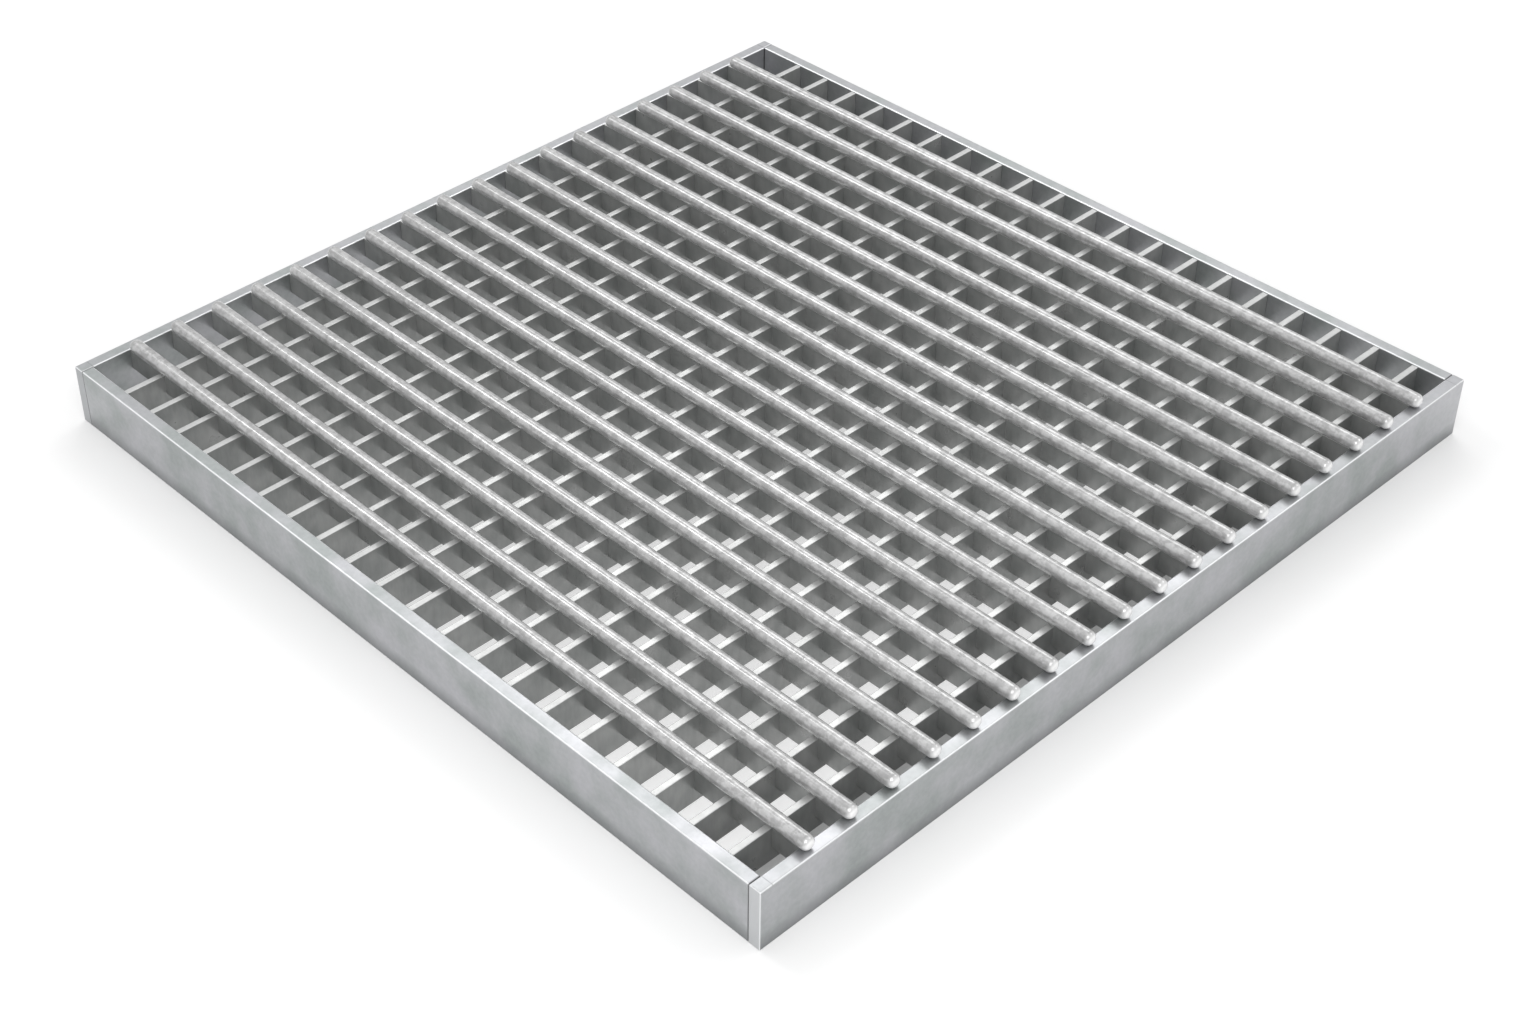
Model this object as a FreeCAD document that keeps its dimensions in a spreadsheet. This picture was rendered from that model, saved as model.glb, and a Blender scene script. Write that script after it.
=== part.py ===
# Steel grating panel: a square frame of flat bars set on edge, a lattice of deep flat bars and
# shallow slats inside it, and a row of round rods lying over the slats.
# Millimetres, +Z up. The origin is the middle of the underside. X runs across the rods and Y
# along them, from the front band (where the rods lie on the band) to the back band.
import FreeCAD, Part
import Sketcher
import os

os.makedirs("parts", exist_ok=True)
doc = FreeCAD.newDocument("grating_panel")

# --- driving sizes, one cell each ------------------------------------------------------------
SIZES = [
    ("panel_width", 730.0),     # outside to outside along X
    ("panel_length", 730.0),    # outside to outside along Y
    ("band_height", 50.0),      # flat bar on edge round the outside
    ("band_thick", 10.0),
    ("band_round", 1.0),        # rolled corner of the stock, along its top
    ("bar_height", 28.0),       # deep flat bars along X
    ("bar_thick", 5.0),
    ("bar_drop", 1.0),          # from the band's top down to the bars' tops
    ("bar_count", 20),
    ("bar_front_gap", 25.6),    # front band's inner face to the first bar's middle
    ("bar_back_gap", 43.5),     # the last bar's middle to the back band's inner face
    ("slat_height", 18.0),      # shallow slats along Y, one under each rod
    ("slat_thick", 4.0),
    ("rod_size", 11.0),         # diameter of the round rods
    ("rod_count", 18),
    ("rod_left_gap", 34.5),     # left band's inner face to the first rod's middle
    ("rod_right_gap", 44.5),    # the last rod's middle to the right band's inner face
    ("rod_bevel", 2.5),         # blunting of the rods' front ends
    ("rod_front_step", 2.5),    # the rods stop this far inside the front band's outer face
    ("rod_back_gap", 4.0),      # and this far before the back band's inner face
]

# --- sizes that follow from them -------------------------------------------------------------
TIED = [
    ("inner_width", "=panel_width - 2 * band_thick"),
    ("inner_length", "=panel_length - 2 * band_thick"),
    ("bar_bottom", "=band_height - bar_drop - bar_height"),
    ("slat_bottom", "=band_height - slat_height"),
    ("bar_pitch", "=(inner_length - bar_front_gap - bar_back_gap) / (bar_count - 1)"),
    ("rod_pitch", "=(inner_width - rod_left_gap - rod_right_gap) / (rod_count - 1)"),
    ("rod_length", "=panel_length - band_thick - rod_front_step - rod_back_gap"),
]

sheet = doc.addObject("Spreadsheet::Sheet", "sizes")
for row, (alias, value) in enumerate(SIZES + TIED, start=1):
    sheet.set("A%d" % row, alias)
    sheet.set("B%d" % row, str(value))
    sheet.setAlias("B%d" % row, alias)
doc.recompute()

parts = []


def new_body(node, x, y, z):
    """A body whose label names its file, placed by three expressions."""
    body = doc.addObject("PartDesign::Body", node)
    body.Label = node
    body.setExpression("Placement.Base.x", x)
    body.setExpression("Placement.Base.y", y)
    body.setExpression("Placement.Base.z", z)
    parts.append(body)
    return body


def origin_item(body, role):
    """One of the body's own origin planes or axes."""
    return [item for item in body.Origin.OriginFeatures if item.Role == role][0]


def rectangle(body, name, plane, wide, deep, start=None):
    """A fully constrained rectangle that begins at the sketch's origin, or at start = (x, y)."""
    sketch = body.newObject("Sketcher::SketchObject", name)
    sketch.AttachmentSupport = [(origin_item(body, plane), "")]
    sketch.MapMode = "FlatFace"
    corners = [(1, 1), (11, 1), (11, 6), (1, 6)]
    for i in range(4):
        a = FreeCAD.Vector(*corners[i], 0)
        b = FreeCAD.Vector(*corners[(i + 1) % 4], 0)
        sketch.addGeometry(Part.LineSegment(a, b), False)
    for i in range(4):
        sketch.addConstraint(Sketcher.Constraint("Coincident", i, 2, (i + 1) % 4, 1))
    for i, kind in enumerate(["Horizontal", "Vertical", "Horizontal", "Vertical"]):
        sketch.addConstraint(Sketcher.Constraint(kind, i))
    for kind, edge, size, label in [("DistanceX", 0, 10, "wide"), ("DistanceY", 1, 5, "deep")]:
        number = sketch.addConstraint(Sketcher.Constraint(kind, edge, 1, edge, 2, size))
        sketch.renameConstraint(number, label)
    sketch.setExpression("Constraints.wide", wide)
    sketch.setExpression("Constraints.deep", deep)
    for kind, label, at in [("DistanceX", "from_x", 0), ("DistanceY", "from_y", 1)]:
        if start is None or start[at] is None:
            # the rectangle's first corner sits on this axis
            sketch.addConstraint(Sketcher.Constraint(kind, -1, 1, 0, 1, 0.0))
        else:
            number = sketch.addConstraint(Sketcher.Constraint(kind, -1, 1, 0, 1, 1.0))
            sketch.renameConstraint(number, label)
            sketch.setExpression("Constraints." + label, start[at])
    return sketch


def pad(body, sketch, name, length):
    feature = body.newObject("PartDesign::Pad", name)
    feature.Profile = sketch
    feature.setExpression("Length", length)
    sketch.Visibility = False
    return feature


def band(node, x, y, wide, deep):
    """A flat bar on edge: a rectangle seen from above, padded up, its long top edges rounded."""
    body = new_body(node, x, y, "0 mm")
    plan = rectangle(body, node + "_plan", "XY_Plane", wide, deep)
    block = pad(body, plan, node + "_block", "sizes.band_height")
    doc.recompute()
    top_edges = []
    for number, edge in enumerate(block.Shape.Edges, start=1):
        is_long = edge.Length > block.Shape.BoundBox.DiagonalLength / 2
        if is_long and edge.BoundBox.ZMin > block.Shape.BoundBox.Center.z:
            top_edges.append("Edge%d" % number)
    rolled = body.newObject("PartDesign::Fillet", node + "_rolled")
    rolled.Base = (block, top_edges)
    rolled.setExpression("Radius", "sizes.band_round")
    body.Tip = rolled


def row_of(body, feature, name, axis, pitch, count):
    """Repeats a feature along one of the body's axes."""
    row = body.newObject("PartDesign::LinearPattern", name)
    row.Originals = [feature]
    row.Direction = (origin_item(body, axis), [""])
    row.setExpression("Length", "%s * (%s - 1)" % (pitch, count))
    row.setExpression("Occurrences", count)
    body.Tip = row
    return row


def lattice():
    """Deep bars along X and shallow slats let into their tops along Y, as one welded piece."""
    body = new_body("bar_grid",
                    "-sizes.inner_width / 2",
                    "-sizes.inner_length / 2",
                    "sizes.bar_bottom")
    slat_plan = rectangle(body, "slat_plan", "XY_Plane", "sizes.slat_thick",
                          "sizes.inner_length",
                          ("sizes.rod_left_gap - sizes.slat_thick / 2", None))
    slat_plan.setExpression("AttachmentOffset.Base.z", "sizes.slat_bottom - sizes.bar_bottom")
    slat = pad(body, slat_plan, "slat", "sizes.slat_height")
    bar_plan = rectangle(body, "bar_plan", "XY_Plane", "sizes.inner_width",
                         "sizes.bar_thick",
                         (None, "sizes.bar_front_gap - sizes.bar_thick / 2"))
    bar = pad(body, bar_plan, "bar", "sizes.bar_height")
    row_of(body, bar, "bar_row", "Y_Axis", "sizes.bar_pitch", "sizes.bar_count")
    row_of(body, slat, "slat_row", "X_Axis", "sizes.rod_pitch", "sizes.rod_count")


def rod(index):
    """A round rod on top of its slat: a circle padded along Y, blunted where it shows in front."""
    node = "rod_%02d" % (index + 1)
    body = new_body(node,
                    "-sizes.inner_width / 2 + sizes.rod_left_gap + %d * sizes.rod_pitch" % index,
                    "-sizes.panel_length / 2 + sizes.rod_front_step",
                    "sizes.band_height + sizes.rod_size / 2")
    face = body.newObject("Sketcher::SketchObject", node + "_section")
    face.AttachmentSupport = [(origin_item(body, "XZ_Plane"), "")]
    face.MapMode = "FlatFace"
    face.addGeometry(Part.Circle(FreeCAD.Vector(0, 0, 0), FreeCAD.Vector(0, 0, 1), 3), False)
    face.addConstraint(Sketcher.Constraint("Coincident", 0, 3, -1, 1))
    number = face.addConstraint(Sketcher.Constraint("Diameter", 0, 6.0))
    face.renameConstraint(number, "size")
    face.setExpression("Constraints.size", "sizes.rod_size")
    bar = pad(body, face, node + "_bar", "sizes.rod_length")
    bar.Reversed = True
    doc.recompute()
    front_end = ["Edge%d" % number for number, edge in enumerate(bar.Shape.Edges, start=1)
                 if edge.BoundBox.YMax < bar.Shape.BoundBox.Center.y]
    blunt = body.newObject("PartDesign::Chamfer", node + "_nose")
    blunt.Base = (bar, front_end)
    blunt.setExpression("Size", "sizes.rod_bevel")
    body.Tip = blunt


# --- the frame: front and back bands run the whole width, the side bands stand between them ---
half_wide = "-sizes.panel_width / 2"
half_long = "-sizes.panel_length / 2"
band("band_front", half_wide, half_long, "sizes.panel_width", "sizes.band_thick")
band("band_back", half_wide, "sizes.panel_length / 2 - sizes.band_thick",
     "sizes.panel_width", "sizes.band_thick")
band("band_left", half_wide, "-sizes.inner_length / 2", "sizes.band_thick", "sizes.inner_length")
band("band_right", "sizes.inner_width / 2", "-sizes.inner_length / 2",
     "sizes.band_thick", "sizes.inner_length")

# --- the filling ------------------------------------------------------------------------------
lattice()
for index in range(int(sheet.rod_count)):
    rod(index)

doc.recompute()
for item in doc.Objects:
    if "Invalid" in item.State or "Error" in item.State:
        raise RuntimeError("%s: %s" % (item.Label, item.State))
for item in parts:
    if item.Shape.isNull() or not item.Shape.isValid() or len(item.Shape.Solids) != 1:
        raise RuntimeError("bad shape: " + item.Label)
    item.Shape.exportStep("parts/%s.step" % item.Label)
    box = item.Shape.BoundBox
    print("%-11s %8.1f %8.1f %6.1f .. %8.1f %8.1f %6.1f  volume %.0f" % (
        item.Label, box.XMin, box.YMin, box.ZMin, box.XMax, box.YMax, box.ZMax,
        item.Shape.Volume))
print("bars", int(sheet.bar_count), "rods", int(sheet.rod_count))
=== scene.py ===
# %% [markdown]
# # Dressing a welded steel grating panel
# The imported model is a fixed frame: four edge bars, one lattice of bars and slats, and eighteen
# round rods. Every place and size below is read from it, in metres, with the origin under the
# middle of the panel, X across the rods and Y along them. The lesson turns those plain solids
# into galvanised steel: rounded edges, blunt rod ends, cloudy zinc, and a soft studio light.

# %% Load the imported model
import math
import bpy
import numpy as np
from mathutils import Matrix, Vector


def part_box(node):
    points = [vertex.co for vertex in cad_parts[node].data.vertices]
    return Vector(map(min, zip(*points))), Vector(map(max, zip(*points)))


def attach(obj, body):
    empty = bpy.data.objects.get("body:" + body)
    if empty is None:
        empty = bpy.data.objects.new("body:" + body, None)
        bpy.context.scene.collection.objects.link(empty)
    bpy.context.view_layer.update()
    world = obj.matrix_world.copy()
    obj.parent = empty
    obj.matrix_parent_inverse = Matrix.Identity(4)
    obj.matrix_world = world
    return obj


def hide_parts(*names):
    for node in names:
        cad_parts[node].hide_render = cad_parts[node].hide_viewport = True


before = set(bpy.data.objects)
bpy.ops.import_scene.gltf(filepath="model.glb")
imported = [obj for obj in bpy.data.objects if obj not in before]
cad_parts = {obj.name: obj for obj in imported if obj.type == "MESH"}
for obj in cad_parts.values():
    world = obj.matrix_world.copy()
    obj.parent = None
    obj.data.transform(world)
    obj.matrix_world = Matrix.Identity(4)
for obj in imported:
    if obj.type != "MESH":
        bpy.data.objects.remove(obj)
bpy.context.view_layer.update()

MM = 0.001
scene = bpy.context.scene
scene.view_settings.view_transform = "Standard"

# %% [markdown]
# ## Where we stand
# The camera looks down at about thirty-seven degrees onto the corner where the front and left
# edge bars meet. A long lens keeps the rods nearly parallel, and a small shift sets the panel
# in the middle of the frame. One could aim it with a Track To constraint, but a direction and
# a roll angle written out give exactly the same view every time.

# %% The camera
EYE = Vector((-1.077, -1.0655, 1.1409))
LOOK = Vector((0.53796, 0.58779, -0.60424))
ROLL = math.radians(-0.937)
SENSOR_MM = 36.0
LENS_MM = 58.8
SHIFT_X = 0.0685
SHIFT_Y = -0.05
FARTHEST = 100.0

lens = bpy.data.cameras.new("studio_camera")
lens.sensor_width = SENSOR_MM
lens.lens = LENS_MM
lens.shift_x = SHIFT_X
lens.shift_y = SHIFT_Y
lens.clip_end = FARTHEST
camera = bpy.data.objects.new("studio_camera", lens)
aim = LOOK.to_track_quat("-Z", "Y").to_matrix()
camera.matrix_world = Matrix.Translation(EYE) @ (aim @ Matrix.Rotation(ROLL, 3, "Z")).to_4x4()
scene.collection.objects.link(camera)
scene.camera = camera
print("camera at", tuple(round(v, 3) for v in EYE))

# %% [markdown]
# ## Light for bright metal
# Metal shows what it mirrors, so the room matters more than the lamps. The room's walls give
# the upright faces an even grey. They brighten towards the ceiling, which the round rods
# mirror, and a little towards the left, which the left edge bar faces. A picture of a studio
# could wrap the room instead, but a few numbers are easier to tune against one another.

# %% The room
WALL_GLOW = 0.74
CEILING_GLOW = 1.10
LEFT_GLOW = 0.22
WALL_ENDS = math.sin(math.radians(29.0))
CEILING_STARTS = math.sin(math.radians(47.0))

room = bpy.data.worlds.new("studio_room")
scene.world = room
room.use_nodes = True
nodes, links = room.node_tree.nodes, room.node_tree.links
toward = nodes.new("ShaderNodeTexCoord")
split = nodes.new("ShaderNodeSeparateXYZ")
links.new(toward.outputs["Generated"], split.inputs["Vector"])


def room_part(direction, starts, ends, first, last, shape="LINEAR"):
    """Glow that goes from first to last as one part of the direction goes from starts to ends."""
    change = nodes.new("ShaderNodeMapRange")
    change.interpolation_type = shape
    change.inputs["From Min"].default_value = starts
    change.inputs["From Max"].default_value = ends
    change.inputs["To Min"].default_value = first
    change.inputs["To Max"].default_value = last
    links.new(split.outputs[direction], change.inputs["Value"])
    return change.outputs["Result"]


both = nodes.new("ShaderNodeMath")
both.operation = "ADD"
rising = room_part("Z", WALL_ENDS, CEILING_STARTS, WALL_GLOW, CEILING_GLOW, "SMOOTHSTEP")
leftward = room_part("X", -1.0, 0.1, LEFT_GLOW, 0.0)
links.new(rising, both.inputs[0])
links.new(leftward, both.inputs[1])
links.new(both.outputs["Value"], nodes["Background"].inputs["Strength"])
nodes["Background"].inputs["Color"].default_value = (1.0, 1.0, 1.0, 1.0)
print("room glow", WALL_GLOW, "to", CEILING_GLOW, "and", LEFT_GLOW, "more on the left")

# %% [markdown]
# ## Four soft boxes
# The wide box behind on the right is what the level faces mirror, and it gives them their
# white. The narrow one behind on the left draws the bright line along each rod. The box in
# front and the one at the side open up the walls of the cells. A ring of small lamps would be
# easier to aim, but it leaves hard spots on the round rods.

# %% The soft boxes
def soft_box(name, place, target, wide, deep, watts):
    """A rectangular area light at place, turned to face target."""
    data = bpy.data.lights.new(name, "AREA")
    data.shape = "RECTANGLE"
    data.size = wide
    data.size_y = deep
    data.energy = watts
    lamp = bpy.data.objects.new(name, data)
    lamp.location = place
    lamp.rotation_euler = (Vector(target) - Vector(place)).to_track_quat("-Z", "Y").to_euler()
    scene.collection.objects.link(lamp)
    print(name, "at", place, "with", watts, "watts")


PANEL_MIDDLE = (0.0, 0.0, 0.0)
NEAR_CORNER = (-0.25, -0.25, 0.0)
FRONT_HALF = (0.0, -0.2, 0.0)
soft_box("back_box", (-0.45, 1.35, 1.86), PANEL_MIDDLE, 0.45, 1.0, 8.5)
soft_box("front_box", (-1.08, -1.14, 1.14), NEAR_CORNER, 1.2, 1.2, 13.0)
soft_box("side_box", (1.30, -1.20, 1.60), FRONT_HALF, 1.0, 1.0, 5.5)
soft_box("right_box", (1.36, 1.12, 1.92), PANEL_MIDDLE, 1.6, 1.0, 11.7)

# %% [markdown]
# ## A pale floor
# The panel lies on a white table, with a sheet of light inside its frame so that the open cells
# read as white paper rather than as shade. The sheet's glow fades towards the back. The table
# glows a little too, which keeps the shadow at its foot soft. A backdrop curve would hide the
# horizon, but from this height the table alone fills the view.

# %% The floor
TABLE_REACH = 20.0
TABLE_ALBEDO = 0.68
TABLE_GLOW = 0.06
SHEET_ALBEDO = 0.56
SHEET_GLOW = 0.60
SHEET_FAR_GLOW = 0.34
SHEET_FADE = 0.5
SHEET_HEIGHT = 1.0 * MM
SHEET_GAP = 5.0 * MM
SHEET_FRONT_GAP = 49.0 * MM


def box_of(node):
    """The lowest and highest corner of a CAD node as two arrays."""
    low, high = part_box(node)
    return np.array(low), np.array(high)


def white(name, albedo, glow):
    """A matt white that also gives off a little light of its own."""
    paint = bpy.data.materials.new(name)
    paint.use_nodes = True
    shader = paint.node_tree.nodes["Principled BSDF"]
    shader.inputs["Base Color"].default_value = (albedo, albedo, albedo, 1.0)
    shader.inputs["Roughness"].default_value = 0.9
    shader.inputs["Specular IOR Level"].default_value = 0.1
    shader.inputs["Emission Color"].default_value = (1.0, 1.0, 1.0, 1.0)
    shader.inputs["Emission Strength"].default_value = glow
    return paint


def level_sheet(name, low, high, height, paint):
    """A level rectangle between two corners, given as (x, y)."""
    mesh = bpy.data.meshes.new(name)
    corners = [low, (high[0], low[1]), high, (low[0], high[1])]
    mesh.from_pydata([(x, y, height) for x, y in corners], [], [(0, 1, 2, 3)])
    mesh.materials.append(paint)
    square = bpy.data.objects.new(name, mesh)
    scene.collection.objects.link(square)
    print(name, "from", low, "to", high)


def fading(paint, low, high, near, far):
    """Makes the glow fade with x + y: near at low, far at high, both in metres."""
    tree = paint.node_tree
    place = tree.nodes.new("ShaderNodeTexCoord")
    diagonal = tree.nodes.new("ShaderNodeVectorMath")
    diagonal.operation = "DOT_PRODUCT"
    diagonal.inputs[1].default_value = (1.0, 1.0, 0.0)
    fade = tree.nodes.new("ShaderNodeMapRange")
    fade.inputs["From Min"].default_value = low
    fade.inputs["From Max"].default_value = high
    fade.inputs["To Min"].default_value = near
    fade.inputs["To Max"].default_value = far
    tree.links.new(place.outputs["Object"], diagonal.inputs[0])
    tree.links.new(diagonal.outputs["Value"], fade.inputs["Value"])
    tree.links.new(fade.outputs["Result"],
                   tree.nodes["Principled BSDF"].inputs["Emission Strength"])
    return paint


table_white = white("table_white", TABLE_ALBEDO, TABLE_GLOW)
level_sheet("studio_floor", (-TABLE_REACH, -TABLE_REACH), (TABLE_REACH, TABLE_REACH), 0.0,
            table_white)

inner_left = box_of("band_left")[1][0]
inner_right = box_of("band_right")[0][0]
inner_front = box_of("band_front")[1][1]
inner_back = box_of("band_back")[0][1]
sheet_white = fading(white("sheet_white", SHEET_ALBEDO, SHEET_GLOW),
                     -SHEET_FADE, SHEET_FADE, SHEET_GLOW, SHEET_FAR_GLOW)
sheet_low = (float(inner_left + SHEET_GAP), float(inner_front + SHEET_FRONT_GAP))
sheet_high = (float(inner_right - SHEET_GAP), float(inner_back - SHEET_GAP))
level_sheet("light_sheet", sheet_low, sheet_high, SHEET_HEIGHT, sheet_white)

# %% [markdown]
# ## Galvanised steel
# Hot-dip zinc is a clean, slightly rough metal whose tone drifts in soft clouds, with a finer
# mottle inside them. A painted pattern would repeat visibly over bars this long, so each finish
# is built from noises in object space: a large one for the clouds and a small one for the
# mottle and a very low bump. Marks that the pieces carry say where edges are worn and where
# light and shade are painted in.

# %% A finish and its parts
class Finish:
    """A metal under construction: a Principled shader and short ways to wire it."""

    def __init__(self, name, metallic):
        self.material = bpy.data.materials.new(name)
        self.material.use_nodes = True
        self.tree = self.material.node_tree
        self.shader = self.tree.nodes["Principled BSDF"]
        self.shader.inputs["Metallic"].default_value = metallic
        self.place = self.node("ShaderNodeTexCoord").outputs["Object"]

    def node(self, kind, **values):
        """A node whose plain sockets are set by name, spaces written as underscores."""
        made = self.tree.nodes.new(kind)
        for key, value in values.items():
            made.inputs[key.replace("_", " ")].default_value = value
        return made

    def join(self, source, made, socket):
        """Links a source to one socket of a node, and hands the node back."""
        self.tree.links.new(source, made.inputs[socket])
        return made

    def noise(self, size, detail, stretch=(1.0, 1.0, 1.0), rough=0.6):
        """Noise with patches about size metres across, squeezed along the axes by stretch."""
        squeeze = self.join(self.place, self.node("ShaderNodeMapping", Scale=stretch), "Vector")
        made = self.node("ShaderNodeTexNoise", Scale=1.0 / size, Detail=detail, Roughness=rough)
        return self.join(squeeze.outputs["Vector"], made, "Vector").outputs["Fac"]

    def span(self, source, low, high, to_low, to_high):
        """Takes low..high of the source to to_low..to_high and holds it there."""
        made = self.node("ShaderNodeMapRange", From_Min=low, From_Max=high,
                         To_Min=to_low, To_Max=to_high)
        return self.join(source, made, "Value").outputs["Result"]

    def ramp(self, source, *stops):
        """A colour ramp of (position, colour) stops."""
        made = self.join(source, self.node("ShaderNodeValToRGB"), "Fac")
        elements = made.color_ramp.elements
        while len(elements) < len(stops):
            elements.new(0.5)
        for element, (position, colour) in zip(elements, stops):
            element.position = position
            element.color = (*colour, 1.0)
        return made.outputs["Color"]

    def blend(self, share, first, second):
        """Mixes two colours; each may be a socket or a plain colour."""
        made = self.tree.nodes.new("ShaderNodeMix")
        made.data_type = "RGBA"
        for index, value in ((0, share), (6, first), (7, second)):
            if isinstance(value, bpy.types.NodeSocket):
                self.tree.links.new(value, made.inputs[index])
            elif index == 0:
                made.inputs[0].default_value = value
            else:
                made.inputs[index].default_value = (*value, 1.0)
        return made.outputs[2]

    def mark(self, name):
        """A value painted on the piece's own corners."""
        made = self.tree.nodes.new("ShaderNodeAttribute")
        made.attribute_name = name
        return made.outputs["Fac"]

    def finish(self, colour, roughness, height, relief):
        """Wires colour, roughness and a bump of relief metres into the shader."""
        self.tree.links.new(colour, self.shader.inputs["Base Color"])
        self.tree.links.new(roughness, self.shader.inputs["Roughness"])
        bump = self.join(height, self.node("ShaderNodeBump", Distance=relief), "Height")
        self.tree.links.new(bump.outputs["Normal"], self.shader.inputs["Normal"])
        return self.material


def grey(level):
    """The plain grey of one level as a colour."""
    return (level, level, level)


# %% [markdown]
# ## Zinc on the edge bars
# The edge bars are the smoothest. Soft clouds cross their big flats, and painted shade darkens
# them towards the foot, where they mirror their own shade. Their edges are pale, partly from
# wear and partly as a painted highlight, and their cut ends carry painted light at the front and
# painted shade at the back. Where two bars meet, a dark seam is painted along the groove, and a
# faint line crosses each through bar beside its end.
# The two lines could be cut into the mesh, but they are finer than its faces, so the finish
# draws them from the place alone.

# %% A finish with lines
class LinedFinish(Finish):
    """A finish that can also work out places and draw lines there."""

    def axis(self, name):
        """One coordinate of the place, in metres."""
        made = self.join(self.place, self.node("ShaderNodeSeparateXYZ"), "Vector")
        return made.outputs[name]

    def math(self, kind, first, second=0.0):
        """One Math node; first is a socket, second a socket or a number."""
        made = self.tree.nodes.new("ShaderNodeMath")
        made.operation = kind
        self.tree.links.new(first, made.inputs[0])
        if isinstance(second, bpy.types.NodeSocket):
            self.tree.links.new(second, made.inputs[1])
        else:
            made.inputs[1].default_value = second
        return made.outputs["Value"]

    def line(self, source, place, half, soft):
        """One on the two lines where |source| = place, fading from half to soft beside them."""
        off = self.math("SUBTRACT", self.math("ABSOLUTE", source), place)
        return self.span(self.math("ABSOLUTE", off), half, soft, 1.0, 0.0)


# %% The edge bars' zinc
JOINT_X = abs(float(inner_left))
JOINT_Y = abs(float(inner_front))
BAND_TOP = float(box_of("band_front")[1][2])
FOOT_LOW = 1.0 * MM
FOOT_HIGH = 14.0 * MM
FOOT_SHADE_SHARE = 0.72
END_FADE = 0.3
SEAM_SHARE = 0.8
SCAR_SHARE = 0.5


def edge_bar_zinc():
    """Clouds and mottle, painted shade at the foot, painted light and shade on the cut ends,
    edges pale from wear and a painted highlight, and the lines at the corners.
    """
    zinc = LinedFinish("edge_bar_zinc", 0.85)
    cloud = zinc.noise(0.038, 1.5)
    fine = zinc.noise(0.004, 3.0)
    tone = zinc.ramp(cloud, (0.34, (0.325, 0.348, 0.346)), (0.50, (0.390, 0.401, 0.411)),
                     (0.66, (0.437, 0.442, 0.461)))
    tone = zinc.blend(0.12, tone, zinc.ramp(fine, (0.35, grey(0.28)), (0.65, grey(0.60))))
    x, y, height = zinc.axis("X"), zinc.axis("Y"), zinc.axis("Z")
    # painted shade: the flats darken towards the foot
    painted_foot_shade = zinc.span(height, FOOT_LOW, FOOT_HIGH, FOOT_SHADE_SHARE, 0.0)
    tone = zinc.blend(painted_foot_shade, tone, (0.16, 0.165, 0.17))

    # painted light and shade: the cut ends are pale at the front and darker at the back
    end_shade_share = zinc.span(y, -END_FADE, END_FADE, 0.0, 1.0)
    ends = zinc.blend(end_shade_share, (0.56, 0.57, 0.58), (0.38, 0.39, 0.40))
    tone = zinc.blend(zinc.mark("cut"), tone, ends)
    # pale edges: partly wear, partly a painted highlight along the rounded edges
    tone = zinc.blend(zinc.mark("wear"), tone, (0.82, 0.83, 0.84))

    # the seam runs along the joint, over the width of the side bar
    beside = zinc.span(zinc.math("ABSOLUTE", x), JOINT_X - 1.0 * MM, JOINT_X, 0.0, SEAM_SHARE)
    seam = zinc.math("MULTIPLY", zinc.line(y, JOINT_Y, 0.2 * MM, 0.9 * MM), beside)
    tone = zinc.blend(seam, tone, (0.03, 0.032, 0.035))

    # the faint line crosses the through bar's top only, and the mottle breaks it up
    beyond = zinc.span(zinc.math("ABSOLUTE", y), JOINT_Y - 1.0 * MM, JOINT_Y, 0.0, SCAR_SHARE)
    level = zinc.span(height, BAND_TOP - 1.4 * MM, BAND_TOP - 0.6 * MM, 0.0, 1.0)
    upper = zinc.math("MULTIPLY", level, beyond)
    scar = zinc.math("MULTIPLY", zinc.line(x, JOINT_X, 0.1 * MM, 0.6 * MM), upper)
    scar = zinc.math("MULTIPLY", scar, zinc.span(fine, 0.35, 0.65, 0.3, 1.0))
    tone = zinc.blend(scar, tone, (0.06, 0.062, 0.065))
    return zinc.finish(tone, zinc.span(cloud, 0.3, 0.7, 0.40, 0.30), fine, 0.02 * MM)


edge_zinc = edge_bar_zinc()
print("joints at", round(JOINT_X / MM, 2), "and", round(JOINT_Y / MM, 2), "mm from the middle")

# %% [markdown]
# ## Zinc on the bars and the rods
# Bars and slats carry painted shade: their sides are darker than their lit tops. The rods have
# the coarsest coat: a mottle that is a little longer along the rod than round it, broken by
# faint rings, and a painted highlight on the noses. One zinc for every piece would be simpler,
# but the coats differ in brightness and grain, so each kind of stock has its own.

# %% The bars' and the rods' zinc
def bar_zinc():
    """Clouds, with the sides a darker copy of the tops as painted shade, and upright streaks."""
    zinc = Finish("bar_zinc", 0.50)
    cloud = zinc.noise(0.025, 2.0)
    streak = zinc.noise(0.004, 3.0, (1.0, 1.0, 0.25))
    # painted shade: the sides take a darker copy of the zinc than the lit tops
    side = zinc.ramp(cloud, (0.35, (0.255, 0.265, 0.260)), (0.65, (0.330, 0.335, 0.330)))
    tread = zinc.ramp(cloud, (0.35, (0.450, 0.455, 0.450)), (0.65, (0.520, 0.525, 0.520)))
    tone = zinc.blend(zinc.mark("tread"), side, tread)
    tone = zinc.blend(0.10, tone, zinc.ramp(streak, (0.35, grey(0.15)), (0.65, grey(0.50))))
    return zinc.finish(tone, zinc.span(cloud, 0.3, 0.7, 0.36, 0.27), streak, 0.02 * MM)


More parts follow.
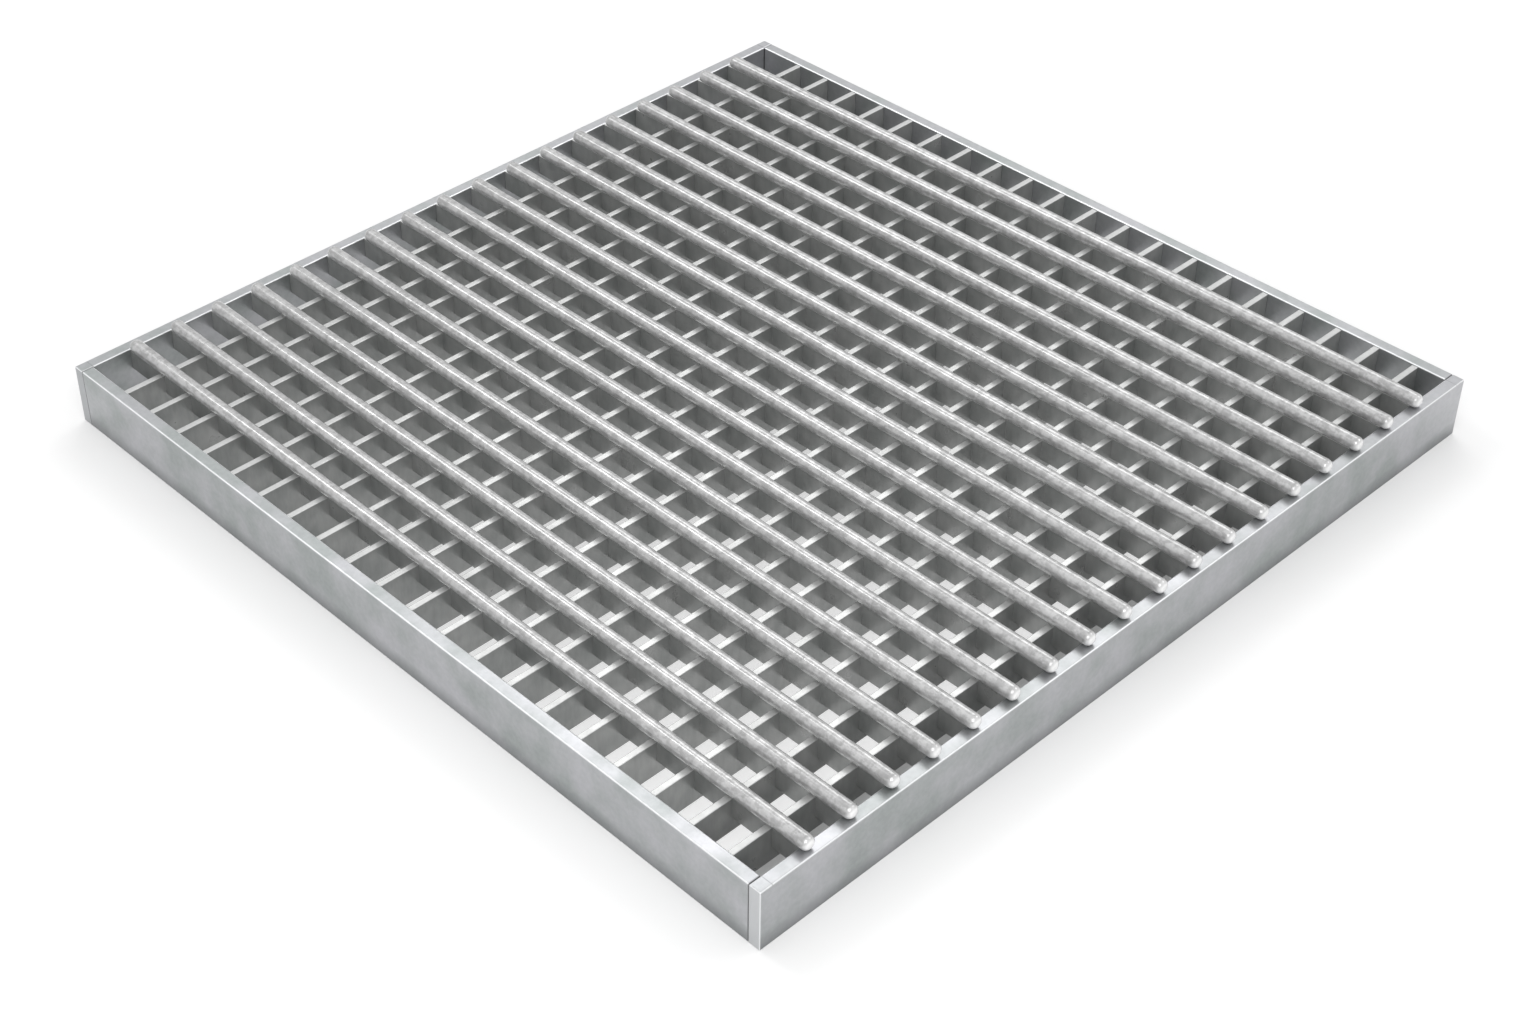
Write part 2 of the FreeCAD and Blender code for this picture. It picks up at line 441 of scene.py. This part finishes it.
def rod_zinc():
    """Clouds, a strong mottle, faint rings and a painted highlight on the noses."""
    zinc = Finish("rod_zinc", 0.34)
    cloud = zinc.noise(0.014, 3.0, (1.0, 0.7, 1.0))
    mottle = zinc.noise(0.0034, 2.0, (1.0, 0.6, 1.0), 0.6)
    rings = zinc.noise(0.0026, 2.0, (0.25, 1.3, 0.25), 0.7)
    tone = zinc.ramp(cloud, (0.35, grey(0.33)), (0.65, grey(0.42)))
    tone = zinc.blend(0.40, tone, zinc.ramp(mottle, (0.42, grey(0.24)), (0.58, grey(0.54))))
    tone = zinc.blend(0.08, tone, zinc.ramp(rings, (0.42, grey(0.20)), (0.58, grey(0.60))))
    # painted highlight: the noses blend towards a pale grey
    tone = zinc.blend(zinc.mark("nose"), tone, grey(0.85))
    return zinc.finish(tone, zinc.span(mottle, 0.35, 0.65, 0.22, 0.14), mottle, 0.03 * MM)


bar_metal, rod_metal = bar_zinc(), rod_zinc()
print("finishes", [metal.name for metal in (edge_zinc, bar_metal, rod_metal)])

# %% [markdown]
# ## One surface for every bar
# Each piece is rolled stock, so one idea serves all: a closed profile carried along a line,
# drawn in at both ends. A Bevel on a cube would give the same edges, but computed loops let
# the ends be blunter than the sides and keep the big flats truly flat.

# %% Profile loops
HOLD = 0.25 * MM
SMALLEST_BEND = 0.05 * MM
CORNER_STEPS = 3
ROUND_POINTS = 36


def rounded_loop(half_u, half_v, radius, inset):
    """A rounded rectangle about the line, one loop for each inset, and its edge mark.

    Each corner is a quarter circle about a centre that lies one radius in from both sides, and
    one more point sits just before and just after it, so that the flats stay flat in shading.
    An inset moves every side inwards and shortens the radius by as much. The mark, which pales
    the edges partly as wear and partly as a painted highlight, is the sine of twice the angle:
    one in the middle of each quarter circle and zero on the flats.
    """
    quarter = np.linspace(0.0, 0.5 * math.pi, CORNER_STEPS + 1)
    turn = np.concatenate([quarter[:1], quarter, quarter[-1:]])
    slide = np.concatenate([[-HOLD], np.zeros(CORNER_STEPS + 1), [HOLD]])
    corner = np.arange(4)[:, None] * 0.5 * math.pi
    angle = (turn + corner).ravel()
    edge_wear_and_sheen = np.tile(np.sin(2.0 * turn), 4)
    slide = np.tile(slide, 4)
    side_u = np.repeat([1.0, -1.0, -1.0, 1.0], len(turn))
    side_v = np.repeat([1.0, 1.0, -1.0, -1.0], len(turn))
    inset = np.asarray(inset, float)[:, None]
    bend = np.maximum(radius - inset, SMALLEST_BEND)
    u = side_u * (half_u - inset - bend) + bend * np.cos(angle) - slide * np.sin(angle)
    v = side_v * (half_v - inset - bend) + bend * np.sin(angle) + slide * np.cos(angle)
    return u, v, edge_wear_and_sheen


def round_loop(radius, inset):
    """A circle of points for each inset, its radius made smaller by the inset."""
    angle = np.linspace(0.0, 2.0 * math.pi, ROUND_POINTS, endpoint=False)
    reach = radius - np.asarray(inset, float)[:, None]
    return reach * np.cos(angle), reach * np.sin(angle)


def end_stations(low, high, size, middle, steps):
    """Distances along a bar and the inset at each.

    Both ends follow a quarter circle of the given size: at angle a the loop lies
    size * (1 - sin a) from the end and is drawn in by size * (1 - cos a). Between them lie
    the middle stations.
    """
    a = np.linspace(0.5 * math.pi, 0.0, steps + 1)
    place = np.concatenate([[0.0], size * (1.0 - np.sin(a)), [size + HOLD]])
    inset = np.concatenate([[size + HOLD], size * (1.0 - np.cos(a)), [0.0]])
    inner = np.linspace(low + place[-1], high - place[-1], middle + 2)[1:-1]
    along = np.concatenate([low + place, inner, high - place[::-1]])
    drawn = np.concatenate([inset, np.zeros(middle), inset[::-1]])
    return along, drawn


# %% From loops to a piece
def skin(loops):
    """Vertices and faces of a closed skin over loops[station, point].

    Point k of one loop is joined to point k of the next, and the first and last loops are
    closed with one flat face each.
    """
    stations, points = loops.shape[:2]
    number = np.arange(stations * points).reshape(stations, points)
    after = np.roll(number, -1, axis=1)
    quads = np.stack([number[:-1], after[:-1], after[1:], number[1:]], axis=-1).reshape(-1, 4)
    faces = quads.tolist() + [number[0, ::-1].tolist(), number[-1].tolist()]
    return loops.reshape(-1, 3), faces


def piece(name, skins, finish, stands_for, marks):
    """One object from one or more skins, riding on the panel and standing for one CAD node."""
    vertices, faces, count = [], [], 0
    for points, polygons in skins:
        vertices.append(points)
        faces += [[index + count for index in polygon] for polygon in polygons]
        count += len(points)
    mesh = bpy.data.meshes.new(name)
    mesh.from_pydata(np.concatenate(vertices).tolist(), [], faces)
    mesh.polygons.foreach_set("use_smooth", np.ones(len(mesh.polygons), bool))
    mesh.materials.append(finish)
    for mark, values in marks.items():
        painted = mesh.attributes.new(mark, "FLOAT", "POINT")
        painted.data.foreach_set("value", np.concatenate(values).astype(np.float32))
    made = bpy.data.objects.new(name, mesh)
    scene.collection.objects.link(made)
    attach(made, "root")
    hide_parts(stands_for)
    print(name, len(vertices), "skins,", len(mesh.polygons), "faces")


def along_x(along, u, v, middle):
    """Loops on a line along X: u is measured along Y and v along Z."""
    x = np.broadcast_to(along[:, None], u.shape)
    return np.stack([x, middle[1] + u, middle[2] + v], axis=-1)


def along_y(along, u, v, middle):
    """Loops on a line along Y: u is measured along Z and v along X."""
    y = np.broadcast_to(along[:, None], u.shape)
    return np.stack([middle[0] + v, y, middle[2] + u], axis=-1)


# %% [markdown]
# ## The four edge bars
# The frame is flat bar set on edge. The front and back bars run through and the side bars
# butt against them, so each corner shows one end face and a fine joint line. The line is the
# shallow groove between the slightly rounded ends of both bars, and the finish darkens it. A
# line drawn by the finish alone would stay flat when the light moves across it.

# %% Edge bars
EDGE_ROUND = 1.0 * MM
EDGE_END = 0.8 * MM
BAR_STATIONS = 4
END_STEPS = 4
CUT_SHARE = 0.8
TREAD_DEPTH = 0.6


def stock(low, high, axis, radius, end):
    """A rounded bar that fills a box along X or Y: its skin and its marks.

    The mark for wear and painted highlight is the larger of the profile's own and of a bump
    4 d (1 - d), where d is the share by which an end loop is drawn in. The cut, which carries the
    ends' painted light and shade, is CUT_SHARE on the end faces, and the lit top, which the bars
    keep free of their painted shade, is one from the upper face down to TREAD_DEPTH of the
    radius.
    """
    centre, half = (low + high) / 2, (high - low) / 2
    along, inset = end_stations(low[axis], high[axis], end, BAR_STATIONS, END_STEPS)
    if axis == 0:
        u, v, edge_wear_and_sheen = rounded_loop(half[1], half[2], radius, inset)
        loops = along_x(along, u, v, centre)
    else:
        u, v, edge_wear_and_sheen = rounded_loop(half[2], half[0], radius, inset)
        loops = along_y(along, u, v, centre)
    drawn = np.clip(inset / end, 0.0, 1.0)[:, None]
    marks = {"wear": np.maximum(edge_wear_and_sheen * (drawn < 1.0), 4.0 * drawn * (1.0 - drawn)),
             "cut": CUT_SHARE * np.broadcast_to(drawn > 0.999, u.shape),
             "tread": loops[..., 2] > high[2] - TREAD_DEPTH * radius}
    return skin(loops), {name: value.ravel().astype(float) for name, value in marks.items()}


for node in ("band_front", "band_back", "band_left", "band_right"):
    low, high = box_of(node)
    along_which = int(high[1] - low[1] > high[0] - low[0])
    body, marks = stock(low, high, along_which, EDGE_ROUND, EDGE_END)
    piece(node + "_steel", [body], edge_zinc, node,
          {"wear": [marks["wear"]], "cut": [marks["cut"]]})

# %% [markdown]
# ## Bars and slats
# Deep flat bars span the frame, and a shallow slat is let into their tops under each rod. An
# Array modifier could repeat one bar, but then its pitch would be a second copy of a size. So
# their places are read from the lattice's own corners: only the bars reach its lowest level
# and only the slats its highest.

# %% Read the lattice
HAIR = 0.05 * MM
low, high = box_of("bar_grid")
lattice_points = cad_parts["bar_grid"].data.vertices
lattice = np.empty(len(lattice_points) * 3)
lattice_points.foreach_get("co", lattice)
lattice = lattice.reshape(-1, 3)


def face_pairs(values):
    """Distinct values, in order, as rows of two: the near and the far face of each bar."""
    values = np.sort(values)
    distinct = values[np.concatenate([[True], np.diff(values) > HAIR])]
    return distinct.reshape(-1, 2)


at_bottom = lattice[lattice[:, 2] < low[2] + HAIR]
at_top = lattice[lattice[:, 2] > high[2] - HAIR]
bar_faces = face_pairs(at_bottom[:, 1])
slat_faces = face_pairs(at_top[:, 0])
at_left = lattice[lattice[:, 0] < low[0] + HAIR]
bar_top = at_left[:, 2].max()
in_first_slat = np.abs(lattice[:, 0] - slat_faces[0, 0]) < HAIR
slat_low = lattice[in_first_slat & (lattice[:, 1] < low[1] + HAIR), 2].min()
print(len(bar_faces), "bars up to", round(bar_top / MM, 2), "mm")
print(len(slat_faces), "slats from", round(slat_low / MM, 2), "mm")

# %% Bars and slats
BAR_ROUND = 0.5 * MM
BAR_END = 0.3 * MM


def flat_bars(name, boxes, axis):
    """A row of bars as one piece, its tops marked to stay free of the painted shade."""
    bodies, marks = zip(*(stock(a, b, axis, BAR_ROUND, BAR_END) for a, b in boxes))
    lit_tops = [mark["tread"] for mark in marks]
    piece(name, bodies, bar_metal, "bar_grid", {"tread": lit_tops})


bar_boxes = [(np.array([low[0], near, low[2]]), np.array([high[0], far, bar_top]))
             for near, far in bar_faces]
slat_boxes = [(np.array([near, low[1], slat_low]), np.array([far, high[1], high[2]]))
              for near, far in slat_faces]
flat_bars("bearing_bars", bar_boxes, 0)
flat_bars("rod_slats", slat_boxes, 1)

# %% [markdown]
# ## Round rods
# The rods are drawn wire with a rough zinc coat, blunt where they were cropped. A plain
# cylinder shines in one straight line, so the radius wavers by up to a tenth of a millimetre,
# which breaks the shine as on real rods.

# %% Rods
NOSE = 4.2 * MM
NOSE_STEPS = 7
NOSE_SHARE = 0.8
ROD_STATIONS = 170
WAVER = 0.018
WAVE_LENGTHS = (0.21, 0.13, 0.071, 0.043, 0.027, 0.019)
WAVE_WINDS = (0, 1, 2, 1, 3, 2)


def rod(node, seed):
    """A round rod with blunt ends inside the box of its CAD node.

    The radius is the box's half height less up to the share WAVER of it. The share follows a
    sum of six sines: each has its own length along the rod, winds whole times around it, and
    starts at random. The nose mark, a painted highlight, is one and a half times the share by
    which the end is drawn in, held at NOSE_SHARE.
    """
    low, high = box_of(node)
    full = (high[2] - low[2]) / 2
    along, inset = end_stations(low[1], high[1], NOSE, ROD_STATIONS, NOSE_STEPS)
    u, v = round_loop(full, inset)
    chance = np.random.default_rng(seed)
    waves = chance.uniform(0.0, 2.0 * math.pi, (len(WAVE_LENGTHS), 2))
    angle = np.linspace(0.0, 2.0 * math.pi, u.shape[1], endpoint=False)
    waver = np.zeros_like(u)
    for (start, turn), length, winds in zip(waves, WAVE_LENGTHS, WAVE_WINDS):
        phase = 2.0 * math.pi * along[:, None] / length + start
        waver += np.sin(phase + winds * angle + turn)
    shrink = 1.0 - (0.5 * waver / len(waves) + 0.5) * WAVER
    middle = np.array([(low[0] + high[0]) / 2, 0.0, low[2] + full])
    loops = along_y(along, u * shrink, v * shrink, middle)
    # the nose mark places a painted highlight on the drawn-in ends
    nose_highlight = np.repeat(np.clip(1.5 * inset / NOSE, 0.0, NOSE_SHARE), u.shape[1])
    piece(node + "_steel", [skin(loops)], rod_metal, node, {"nose": [nose_highlight]})


rod_nodes = sorted(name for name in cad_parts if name.startswith("rod_"))
for number, node in enumerate(rod_nodes):
    rod(node, number)
print(len(rod_nodes), "rods")

# %% [markdown]
# ## Last steps
# The CAD nodes that are hidden still get a finish.

# %% Finish the hidden nodes
for name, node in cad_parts.items():
    node.data.materials.clear()
    node.data.materials.append(rod_metal if name.startswith("rod_") else bar_metal)
